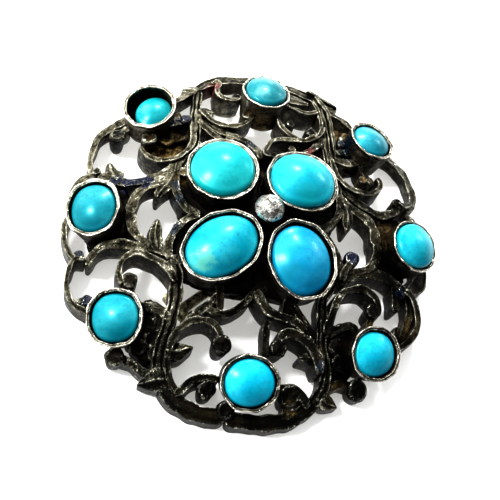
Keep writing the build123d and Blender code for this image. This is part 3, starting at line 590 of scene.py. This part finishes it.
def tarnished_silver(name, bare, pale_lit_skin, dark_shaded_skin, deep, wear=0.0, texture=0.85):
    """Cast silver: black in the hollows, grey skin over the flats, bare metal on the edges that rub, with
    what is left of the gilding and the enamel. From the back left to the front right the skin darkens and is
    less rubbed. This is partly tarnish and partly painted shade away from the lamps."""
    material, n = new_material(name)
    place = n.add("ShaderNodeTexCoord").outputs["Object"]
    lumps, patches = n.grain(place, 2.6), n.grain(place, 0.7, 3)
    fine, scratches = n.grain(place, 0.2, 2, 0.6), n.grain(place, 0.09, 1)
    along, worn, gilt, enamel, tint = (n.add("ShaderNodeAttribute", attribute_name=measure).outputs["Fac"]
                                       for measure in ("along", "worn", "gilt", "enamel", "tint"))
    nicks = n.add("ShaderNodeTexNoise", {"W": n.math("MULTIPLY", along, 3.2), "Detail": 2.0},
                  noise_dimensions="1D").outputs[0]
    ridge = n.add("ShaderNodeNewGeometry").outputs["Pointiness"]
    # Painted shade: the direction in which the silver darkens, away from the lamps at the left and back
    shade_towards_front_right = n.along(place, (0.5, -0.87, 0.0))

    # How far the metal is rubbed bare: 0 in the hollows, past 1 on the edges, and less towards the front right as
    # painted shade
    rubbed = n.sum(
        worn, wear,
        n.between(patches, 0.32, 0.68, -0.34, 0.30),
        n.between(fine, 0.3, 0.7, -0.26, 0.26),
        n.between(scratches, 0.3, 0.7, -0.12, 0.12),
        n.between(lumps, 0.35, 0.65, -0.20, 0.12),
        n.between(nicks, 0.3, 0.62, -0.14, 0.06),
        n.between(ridge, 0.47, 0.56, -0.30, 0.42),
        n.between(shade_towards_front_right, -16 * MM, 14 * MM, -0.02, -0.26),
        n.math("MULTIPLY", worn, n.between(scratches, 0.56, 0.70, 0.0, 0.75)),
    )
    hollow = n.mix(n.between(lumps, 0.45, 0.62), (0.004, 0.0038, 0.003, 1), deep)
    gilded = n.mix(n.between(patches, 0.4, 0.65), (0.026, 0.017, 0.007, 1), (0.22, 0.15, 0.06, 1))
    hollow = n.mix(n.math("MULTIPLY", gilt, n.between(fine, 0.38, 0.6, 0.25, 1.0)), hollow, gilded)
    # Painted shade mixed with tarnish: pale skin at the back left, dark skin at the front right
    skin = n.mix(n.between(shade_towards_front_right, -15 * MM, 12 * MM), pale_lit_skin, dark_shaded_skin)
    colour = n.mix(n.between(rubbed, 0.15, 0.65), hollow, skin)
    colour = n.mix(n.between(rubbed, 0.85, 1.3), colour, bare)

    # Enamel stays in patches off the rubbed edges: navy, teal or dark red by its tint
    patchy = n.math("ADD", enamel, n.between(patches, 0.3, 0.7, -0.35, 0.35))
    enamelled = n.math("MULTIPLY", n.between(patchy, 0.45, 0.6), n.between(rubbed, 1.05, 0.85))
    glass = n.mix(n.between(tint, 0.0, 0.5), (0.0004, 0.0025, 0.015, 1), (0.0008, 0.005, 0.008, 1))
    glass = n.mix(n.between(tint, 0.6, 1.0), glass, (0.09, 0.022, 0.020, 1))
    colour = n.mix(enamelled, colour, glass)

    rough = n.math("SUBTRACT", n.between(rubbed, 0.1, 1.2, 0.50, 0.27), n.math("MULTIPLY", enamelled, 0.2))
    metallic = n.math("SUBTRACT", 0.9, n.math("MULTIPLY", enamelled, 0.9))
    relief = n.math("ADD", n.math("MULTIPLY", scratches, 0.35), n.math("ADD", fine, patches))
    relief = n.math("ADD", relief, n.math("MULTIPLY", nicks, 0.5))
    bump = n.add("ShaderNodeBump", {"Height": relief, "Strength": texture, "Distance": 0.11 * MM}).outputs[0]
    shader = n.add("ShaderNodeBsdfPrincipled", {"Base Color": colour, "Metallic": metallic, "Roughness": rough,
                                                "Specular IOR Level": 0.2, "Normal": bump})
    n.add("ShaderNodeOutputMaterial", {"Surface": shader.outputs[0]})
    return material


def turquoise(name, colour, pale, marks, shaded_side, reach):
    """Polished turquoise: clouds, fine specks and veins, painted shade that darkens it towards its shaded side, and
    marks of its own (place, radius, colour, strength)."""
    material, n = new_material(name)
    place = n.add("ShaderNodeTexCoord").outputs["Object"]
    clouds, specks, ragged = n.grain(place, 2.4, 3), n.grain(place, 0.4, 3, 0.6), n.grain(place, 0.8, 3, 0.6)
    tone = n.mix(n.between(clouds, 0.38, 0.66), colour, pale)
    tone = n.mix(n.between(specks, 0.48, 0.70, 0.0, 0.5), tone, [0.45 * c for c in pale[:3]] + [1])
    vein = n.between(n.math("ABSOLUTE", n.math("SUBTRACT", ragged, 0.5)), 0.03, 0.0)
    tone = n.mix(n.math("MULTIPLY", vein, n.between(clouds, 0.45, 0.6, 0.0, 0.3)), tone, (0.03, 0.33, 0.32, 1))
    # Painted shade: the stone darkens towards the side away from the lamps
    painted_shade_tone = (0.0, 0.30 * colour[1], 0.36 * colour[2], 1)
    far = n.away(place, [c * MM for c in shaded_side])
    tone = n.mix(n.between(far, reach * MM, 0.15 * reach * MM, 0.0, 0.8), tone, painted_shade_tone)
    for at, radius, shade, strength in marks:
        far = n.away(place, [c * MM for c in at])
        far = n.math("ADD", far, n.between(ragged, 0.3, 0.7, -0.35 * radius * MM, 0.35 * radius * MM))
        tone = n.mix(n.between(far, radius * MM, 0.4 * radius * MM, 0.0, strength), tone, (*shade, 1))
    shader = n.add("ShaderNodeBsdfPrincipled", {
        "Base Color": tone, "Roughness": 0.36, "Coat Weight": 0.12, "Coat Roughness": 0.2, "IOR": 1.45,
        "Specular Tint": (0.15, 0.9, 1.0, 1)})
    n.add("ShaderNodeOutputMaterial", {"Surface": shader.outputs[0]})
    return material


BROWN, BLACK = (0.015, 0.011, 0.006, 1), (0.007, 0.0055, 0.004, 1)
# Each silver has a pale skin for the lit back left and a dark skin for the shaded front right, as painted shade
# together with tarnish
silver = tarnished_silver(
    "tarnished_silver", bare=(0.50, 0.48, 0.39, 1), pale_lit_skin=(0.098, 0.091, 0.062, 1),
    dark_shaded_skin=(0.010, 0.011, 0.008, 1), deep=BROWN)
web_silver = tarnished_silver(
    "blackened_silver", bare=(0.30, 0.27, 0.19, 1), pale_lit_skin=(0.060, 0.050, 0.030, 1),
    dark_shaded_skin=(0.012, 0.011, 0.008, 1), deep=BLACK, wear=-0.1)
rim_silver = tarnished_silver(
    "worn_rim_silver", bare=(0.56, 0.53, 0.46, 1), pale_lit_skin=(0.135, 0.122, 0.090, 1),
    dark_shaded_skin=(0.055, 0.050, 0.040, 1), deep=(0.024, 0.015, 0.007, 1), wear=0.05)
pellet_silver = tarnished_silver(
    "blackened_balls", bare=(0.46, 0.45, 0.37, 1), pale_lit_skin=(0.075, 0.072, 0.052, 1),
    dark_shaded_skin=(0.006, 0.007, 0.006, 1), deep=BLACK, wear=-0.06)
knob_silver = tarnished_silver(
    "worn_knob_silver", bare=(0.80, 0.78, 0.73, 1), pale_lit_skin=(0.16, 0.155, 0.135, 1),
    dark_shaded_skin=(0.11, 0.105, 0.09, 1), deep=BLACK, wear=-0.16, texture=0.4)
wire_silver = tarnished_silver(
    "pin_wire", bare=(0.70, 0.66, 0.46, 1), pale_lit_skin=(0.42, 0.38, 0.24, 1),
    dark_shaded_skin=(0.30, 0.27, 0.17, 1), deep=BROWN, wear=0.7)


# Openwork

def scrollwork(quarter, side_x, side_y):
    bm = new_work("worn", "along")
    for _, kind, widths, points in STRAPS[quarter]:
        lay_strap(bm, on_grid(points, side_x, side_y), widths, kind)
    uneven(bm, STRAP_FINISH)
    bmesh.ops.recalc_face_normals(bm, faces=bm.faces)
    finish_piece(bm, "scrollwork_" + quarter, silver, "silver_frame", smooth=1)


def plate(outline, thickness):
    """A plate on its outline, drawn out by its thickness."""
    bm = new_work()
    bm.faces.new([bm.verts.new(corner) for corner in outline])
    grown = bmesh.ops.extrude_face_region(bm, geom=bm.faces[:])["geom"]
    bmesh.ops.translate(bm, vec=thickness, verts=[g for g in grown if isinstance(g, bmesh.types.BMVert)])
    return bm


def web(outline, top):
    """A flat web with even small faces to be bent."""
    bm = plate([(x, y, WEB_UNDERSIDE) for x, y in outline], (0, 0, top - WEB_UNDERSIDE))
    bmesh.ops.triangulate(bm, faces=bm.faces[:])
    bmesh.ops.subdivide_edges(bm, edges=bm.edges[:], cuts=7, use_grid_fill=True)
    return bm


def webs(quarter, side_x, side_y):
    """Thin webs between the straps, lower than they are, and the floor of the deep bowl."""
    bm = new_work()
    for name, outline in WEBS.items():
        add_work(bm, web(on_grid(OWN_WEBS.get((quarter, name), outline), side_x, side_y), WEB_TOP))
    if quarter in BOWLS:
        add_work(bm, web(on_grid(BOWLS[quarter], side_x, side_y), BOWL_TOP))
    onto_dome(bm.verts, WEB_TOP)
    uneven(bm, WEB_FINISH)
    bmesh.ops.recalc_face_normals(bm, faces=bm.faces)
    finish_piece(bm, "webs_" + quarter, web_silver, "silver_frame", smooth=0)


for quarter, mirror in QUARTERS.items():
    scrollwork(quarter, *mirror)
    webs(quarter, *mirror)


def ball(r, base):
    """A low ball on a stem that stands on the ground, dark on top with a rubbed edge."""
    # radius, height, wear
    profile = [(0, 0, 0), (0.85 * r, 0, 0), (0.92 * r, base - 0.6 * r, 0.0), (1.02 * r, base - 0.1 * r, 0.1),
               (0.98 * r, base + 0.25 * r, 0.7), (0.80 * r, base + 0.48 * r, 0.85), (0.56 * r, base + 0.56 * r, 0.35),
               (0.30 * r, base + 0.50 * r, 0.15), (0, base + 0.56 * r, 0.25)]
    bm = new_work("worn")
    spin_profile(bm, [(across, z) for across, z, _ in profile], BALL_STEPS)
    worn = bm.verts.layers.float["worn"]
    for v in bm.verts:
        v[worn] = min(profile, key=lambda p: abs(p[0] - v.co.xy.length) + abs(p[1] - v.co.z))[2]
    return bm


def pellets():
    """Cast balls at the ends of the curls, and the low lumps."""
    bm = new_work("worn")
    rows = [(row, BALL_LIFT) for row in PELLETS.items()] + [(row, CLUMP_LIFT) for row in CLUMPS.items()]
    for (quarter, places), lift in rows:
        base = SHOULDER + lift
        for x, y, r in places:
            one = ball(r, base)
            bmesh.ops.translate(one, vec=(*on_grid([(x, y)], *QUARTERS[quarter])[0], 0), verts=one.verts)
            onto_dome(one.verts, base + 0.56 * r)
            add_work(bm, one)
    uneven(bm, BALL_FINISH)
    bmesh.ops.recalc_face_normals(bm, faces=bm.faces)
    finish_piece(bm, "scroll_pellets", pellet_silver, "silver_frame", smooth=1)


pellets()


def side_plate(outline, depth, place):
    """A plate standing on edge: its outline in X and Z, its depth centred along Y, its edges softened."""
    bm = plate([(x, -depth / 2, z) for x, z in outline], (0, depth, 0))
    bmesh.ops.recalc_face_normals(bm, faces=bm.faces)
    rims = [e for e in bm.edges if abs(e.verts[0].co.y - e.verts[1].co.y) < 1e-6]
    bmesh.ops.bevel(bm, geom=rims, offset=0.06, segments=2, profile=0.5, affect="EDGES", material=-1)
    bmesh.ops.transform(bm, matrix=place, verts=bm.verts)
    return bm


def fixings():
    """The two cheeks and the rivet that hold the pin, and the catch for its point."""
    bm = new_work()
    half_turn = [(cos(k / 12 * pi), sin(k / 12 * pi)) for k in range(13)]
    cheek = [(-HINGE_RADIUS * c, -HINGE_RADIUS * s) for c, s in half_turn]
    cheek += [(HINGE_RADIUS, CHEEK_TOP), (-HINGE_RADIUS, CHEEK_TOP)]
    for across in (-CHEEK_ASIDE, CHEEK_ASIDE):
        add_work(bm, side_plate(cheek, CHEEK_WIDTH, Matrix.Translation((HINGE_ALONG, across, 0))))
    groove = PIN_END_RADIUS + CATCH_GAP
    catch = [(-CATCH_HALF, CATCH_TOP), (-CATCH_HALF, -CATCH_HALF), (CATCH_HALF, -CATCH_HALF), (CATCH_HALF, -groove)]
    catch += [(-groove * s, -groove * c) for c, s in half_turn]
    catch += [(CATCH_HALF, groove), (CATCH_HALF, CATCH_TOP)]
    quarter_turn = Matrix.Translation((CATCH_ALONG, 0, 0)) @ Matrix.Rotation(pi / 2, 4, "Z")
    add_work(bm, side_plate(catch, CATCH_LENGTH, quarter_turn))
    rivet = new_work()
    across_hinge = Matrix.Translation((HINGE_ALONG, 0, 0)) @ Matrix.Rotation(pi / 2, 4, "X")
    bmesh.ops.create_cone(rivet, cap_ends=True, segments=24, radius1=RIVET_RADIUS, radius2=RIVET_RADIUS,
                          depth=RIVET_LENGTH, matrix=across_hinge)
    add_work(bm, rivet)
    heading = radians(PIN_HEADING)
    turn = Matrix.Rotation(heading, 4, "Z")
    turn.translation = (PIN_OFFSET * sin(heading), -PIN_OFFSET * cos(heading), PIN_HEIGHT)
    bmesh.ops.transform(bm, matrix=turn, verts=bm.verts)
    bmesh.ops.recalc_face_normals(bm, faces=bm.faces)
    finish_piece(bm, "pin_fixings", wire_silver, "silver_frame", smooth=0)


def boss():
    """The plate in the middle, under the knob."""
    bm = new_work("worn")
    foot, shoulder = WEB_UNDERSIDE, BOSS_TOP - 0.2
    spin_profile(bm, [(0, foot), (BOSS_RADIUS, foot), (BOSS_RADIUS, shoulder), (BOSS_RADIUS - 0.15, BOSS_TOP),
                      (0, BOSS_TOP)], KNOB_STEPS)
    onto_dome(bm.verts, BOSS_TOP)
    uneven(bm, BOSS_FINISH)
    bmesh.ops.recalc_face_normals(bm, faces=bm.faces)
    finish_piece(bm, "middle_boss", web_silver, "silver_frame", smooth=1)


fixings()
boss()


# Collets and stones

def own(row):
    return OWN.get(row.title, Own())


def collet_matrix(row):
    """The place and lean of a collet on the hollow face, its X along the long axis."""
    lean, around = asin(row.distance * FRAME_RADIUS / RIM_SPHERE), radians(row.direction)
    normal = Vector((sin(lean) * cos(around), sin(lean) * sin(around), cos(lean)))
    flat = Vector((cos(radians(row.turn)), sin(radians(row.turn)), 0))
    aside = normal.cross(flat).normalized()
    along = aside.cross(normal)
    m = Matrix((along, aside, normal)).transposed().to_4x4()
    m.translation = Vector((0, 0, CENTRE_Z)) + normal * DOME_RADIUS
    return m


def half_sizes(row, height, inset):
    """Half length and half width of a collet at a height, this far in from its outside."""
    usual = USUAL_COLLET[row.ring] * own(row).size
    narrowing = COLLET_TAPER * (RIM_HEIGHT - height) / (RIM_HEIGHT - COLLET_SEAT)
    return tuple(usual * share - narrowing - inset for share in (row.length, row.width))


def squared(row, angle):
    """Growth at an angle that brings a round outline nearer to a square."""
    return -own(row).squared * cos(4 * angle)


def angle_of(v):
    """Angle of a vertex round the axis, or 0 on it."""
    return Vector((v.co.x, v.co.y)).angle_signed(Vector((1, 0)), 0) if v.co.xy.length > 1e-6 else 0


def onto_seat(bm, row):
    """Sets a collet or its stone in place; the higher up, the more it leans its own way."""
    lean = Matrix.Rotation(radians(own(row).lean), 4, Vector((0.83, 0.55, 0)))
    m = collet_matrix(row)
    to_ground = m.to_3x3().to_4x4()
    pivot = Matrix.Translation((0, 0, COLLET_SEAT + 0.5))
    own_way = to_ground.inverted() @ lean @ to_ground
    place = Matrix.Translation((*own(row).shift, 0)) @ m
    bmesh.ops.transform(bm, matrix=place @ pivot @ own_way @ pivot.inverted(), verts=bm.verts)


def collet(row):
    """A tapered cup with a closed floor, bent by hand: faceted, rippled, and worn along its lip."""
    bm = new_work("worn")
    worn = bm.verts.layers.float["worn"]
    seat, floor, rim = COLLET_SEAT, COLLET_SEAT + COLLET_FLOOR, RIM_HEIGHT
    # The metal was rubbed over the stone in a double lip, broader on the outer collets
    lip = min(0.16, row.slack) if row.ring == "outer" else 0.08
    # inset from the outside, height, wear
    section = [
        (None, seat, 0.0), (0.0, seat, 0.0), (0.0, seat + 1.0, 0.1), (0.0, rim - 1.2, 0.35), (0.0, rim - 0.5, 0.7),
        (-0.04, rim - 0.2, 0.95), (0.0, rim - 0.04, 1.1), (0.10, rim, 1.2),
        (0.15 + lip / 2, rim - 0.05 - lip / 3, 0.6), (0.24 + lip, rim - 0.04, 1.0), (0.30 + lip, rim - 0.2, 0.3),
        (0.30 + lip / 2, rim - 0.8, -0.3), (COLLET_WALL, floor, -0.8), (None, floor, -0.8),
    ]
    profile = [(0 if inset is None else half_sizes(row, z, inset)[0], z) for inset, z, _ in section]
    spin_profile(bm, profile, STONE_STEPS)
    luck = random.Random(row.name + row.ring)
    waves = [(k, luck.uniform(0, 2 * pi), luck.uniform(0.3, 1.0)) for k in (3, 5, 7, 9, 12, 16)]
    sides, start = luck.choice((8, 9, 10, 11)), luck.uniform(0, pi)
    half_length, half_width = half_sizes(row, rim, 0)
    flat = half_width / half_length
    wear_at = {round(z, 4): wear for _, z, wear in section}
    for v in bm.verts:
        if v.co.xy.length > 0.1:
            v[worn] = next(wear for z, wear in wear_at.items() if abs(z - v.co.z) < 1e-3)
    for v in bm.verts:
        angle = angle_of(v)
        lift = max(0.0, (v.co.z - seat) / (rim - seat)) ** 2
        ripple = sum(size * cos(k * angle + phase) / k ** 0.5 for k, phase, size in waves)
        facet = (angle + start) % (2 * pi / sides) - pi / sides
        facets = 0.5 * (cos(pi / sides) / cos(facet) - cos(pi / sides / 2))
        grow = 1 + lift * (0.012 * ripple + facets + squared(row, angle))
        v.co.x *= grow
        v.co.y *= grow * flat
        v.co.z += 0.05 * lift * sum(size * sin(k * angle + 2 * phase) / k ** 0.5 for k, phase, size in waves)
    onto_seat(bm, row)
    uneven(bm, COLLET_FINISH)
    bmesh.ops.recalc_face_normals(bm, faces=bm.faces)
    finish_piece(bm, "collet_" + row.title, rim_silver, "silver_frame", smooth=1)


def dome_height(r, curve, top):
    """Height at a distance from the axis of a dome with this radius of curve and this top."""
    return top - curve + sqrt(curve ** 2 - r * r)


def stone(row):
    """A cabochon: a low wall that tapers to its foot, a rounded shoulder and a dome."""
    bm = new_work()
    inset = COLLET_WALL + STONE_CLEARANCE + row.slack
    low, top = COLLET_SEAT + COLLET_FLOOR + 0.05, RIM_HEIGHT - row.sunk
    half_length, half_width = half_sizes(row, min(top, RIM_HEIGHT), inset)
    foot = half_sizes(row, low, inset)[0]
    # Radius of the dome's curve, and of the rounded shoulder round it
    curve, edge = 1.6 * max(half_length, half_width), 0.22 * min(half_length, half_width)
    side = dome_height(half_length - edge, curve, top)
    profile = [(0, low), (foot, low), (half_length, side - edge - 0.6)]
    for k in range(5):
        a = k / 4 * pi / 2 * 0.75
        profile.append((half_length - edge + edge * cos(a), side - edge + edge * sin(a) - 0.02))
    for k in range(1, 13):
        r = (half_length - edge * 0.7) * (1 - k / 12)
        profile.append((r, dome_height(r, curve, top)))
    spin_profile(bm, profile, STONE_STEPS)
    luck = random.Random(row.name + row.ring + "stone")
    waves = [(k, luck.uniform(0, 2 * pi)) for k in (2, 3, 4, 5)]
    for v in bm.verts:
        angle = angle_of(v)
        ripple = sum(cos(k * angle + phase) for k, phase in waves) / 4
        grow = 1 + squared(row, angle) - 0.012 * (1 + ripple)
        v.co.x *= grow
        v.co.y *= grow * half_width / half_length
    bmesh.ops.translate(bm, vec=(*own(row).stone_shift, 0), verts=bm.verts)
    onto_seat(bm, row)
    bmesh.ops.recalc_face_normals(bm, faces=bm.faces)

    colour = STONE_COLOURS[row.title]
    pale = (colour[0] + 0.02, colour[1] * 1.35, colour[2] * 1.28, 1)
    m = collet_matrix(row)
    mark_height = side + 0.7 * (top - side)
    marks = [(m @ Vector((u * half_length, v * half_width, mark_height)), radius, shade, strength)
             for u, v, radius, shade, strength in STONE_MARKS.get(row.title, [])]
    # Painted shade: each stone's shaded side lies to its front right and below
    shaded_side = m @ Vector((0, 0, side)) + Vector((0.45, -0.9, -0.3)) * half_width * 1.1
    finish = turquoise("turquoise_" + row.title, (*colour, 1), pale, marks, shaded_side, 1.5 * half_width)
    node = f"{row.ring}_stone_{row.name}"
    finish_piece(bm, "cabochon_" + row.title, finish, node, smooth=1)


for row in COLLETS:
    collet(row)
    stone(row)


def knob():
    """The head of the middle rivet on its stem."""
    bm = new_work("worn")
    foot, widest = CENTRE_Z + DOME_RADIUS + 0.4, CENTRE_Z + RIM_SPHERE + 0.9
    profile = [(0, foot), (KNOB_STEM_RADIUS, foot), (KNOB_STEM_RADIUS, widest - 0.7),
               (KNOB_RADIUS - 0.1, widest - 0.3), (KNOB_RADIUS, widest - 0.12), (KNOB_RADIUS, widest + 0.05)]
    curve = (KNOB_RADIUS ** 2 + KNOB_CROWN ** 2) / (2 * KNOB_CROWN)
    for k in range(1, 10):
        r = KNOB_RADIUS * (1 - k / 9)
        profile.append((r, dome_height(r, curve, widest + KNOB_CROWN)))
    spin_profile(bm, profile, KNOB_STEPS)
    worn = bm.verts.layers.float["worn"]
    for v in bm.verts:
        v[worn] = 1.22 if v.co.z > widest - 0.3 else 0.0
    bmesh.ops.translate(bm, vec=(*KNOB_PLACE, 0), verts=bm.verts)
    bmesh.ops.recalc_face_normals(bm, faces=bm.faces)
    uneven(bm, KNOB_FINISH)
    finish_piece(bm, "knob", knob_silver, "silver_frame", smooth=1)


knob()

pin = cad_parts["pin"]
pin.data.materials.clear()
pin.data.materials.append(wire_silver)


# Floor, light and camera

def floor():
    """White paper that glows as painted light, most towards the back left, to lighten the shade under the brooch."""
    bm = bmesh.new()
    bmesh.ops.create_circle(bm, cap_ends=True, segments=64, radius=1.5)
    mesh = bpy.data.meshes.new("table_top")
    bm.to_mesh(mesh)
    bm.free()
    paper, n = new_material("white_paper")
    # Painted light: the paper glows everywhere, most at the back left, to lighten the shade under the brooch
    back_left = n.along(n.add("ShaderNodeTexCoord").outputs["Object"], (-0.4, 0.9, 0.0))
    painted_glow = n.between(back_left, -8 * MM, 16 * MM, 0.29, 0.46)
    shader = n.add("ShaderNodeBsdfPrincipled", {"Base Color": (0.60, 0.60, 0.60, 1), "Roughness": 0.7,
                                                "Emission Color": (1.0, 0.99, 0.94, 1), "Emission Strength": painted_glow})
    n.add("ShaderNodeOutputMaterial", {"Surface": shader.outputs[0]})
    mesh.materials.append(paper)
    table = bpy.data.objects.new("table_top", mesh)
    bpy.context.scene.collection.objects.link(table)


floor()


def window(name, direction, lift, distance, size, power):
    """A soft light at a direction and lift in degrees, turned to the brooch."""
    a, e = radians(direction), radians(lift)
    place = Vector((cos(a) * cos(e), sin(a) * cos(e), sin(e)))
    light = bpy.data.lights.new(name, "AREA")
    light.shape = "ELLIPSE"
    light.size, light.size_y = size
    light.energy = power
    lamp = bpy.data.objects.new(name, light)
    bpy.context.scene.collection.objects.link(lamp)
    lamp.location = place * distance
    lamp.rotation_euler = place.to_track_quat("Z", "Y").to_euler()


window("window_left", 174, 54, 0.6, (0.14, 0.13), 5.3)
window("window_back", 88, 38, 0.6, (0.08, 0.10), 2.6)
window("window_right", 42, 20, 0.6, (0.16, 0.05), 0.8)


def room():
    """A pale room, brightest high up on the window's side, with plain paper behind."""
    world = bpy.data.worlds.new("room")
    world.use_nodes = True
    n = Nodes(world.node_tree)
    facing = n.along(n.add("ShaderNodeTexCoord").outputs["Generated"], (-0.45, 0.45, 0.77))
    light = n.between(facing, 0.2, 1.0, 0.12, 2.0)
    backdrop = n.add("ShaderNodeLightPath").outputs["Is Camera Ray"]
    shader = n.add("ShaderNodeBackground", {"Color": (0.96, 0.98, 1.0, 1),
                                            "Strength": n.between(backdrop, 0.0, 1.0, light, 1.1)})
    n.add("ShaderNodeOutputWorld", {"Surface": shader.outputs[0]})
    bpy.context.scene.world = world


room()

# The photograph's view: from the front left and above, the camera turned over its own axis
AZIMUTH, ELEVATION, ROLL = radians(-19.92), radians(64.08), radians(25.60)
CAMERA_DISTANCE, AIM_RIGHT, AIM_UP, AIM_HEIGHT = 85.0, -1.24, -3.60, 8.16

back = Vector((sin(AZIMUTH) * cos(ELEVATION), -cos(AZIMUTH) * cos(ELEVATION), sin(ELEVATION)))
level = Vector((cos(AZIMUTH), sin(AZIMUTH), 0))
upward = back.cross(level)
right = level * cos(ROLL) + upward * sin(ROLL)
up = upward * cos(ROLL) - level * sin(ROLL)
camera = bpy.data.objects.new("camera", bpy.data.cameras.new("camera"))
bpy.context.scene.collection.objects.link(camera)
camera.data.lens = 64.0
camera.data.sensor_width = 36.0
camera.data.clip_start = 0.001
camera.data.clip_end = 10.0
pose = Matrix((right, up, back)).transposed().to_4x4()
pose.translation = (right * AIM_RIGHT + up * AIM_UP + back * CAMERA_DISTANCE + Vector((0, 0, AIM_HEIGHT))) * MM
camera.matrix_world = pose
bpy.context.scene.camera = camera
bpy.context.scene.view_settings.view_transform = "Standard"
bpy.context.scene.view_settings.look = "High Contrast"

bpy.context.view_layer.update()
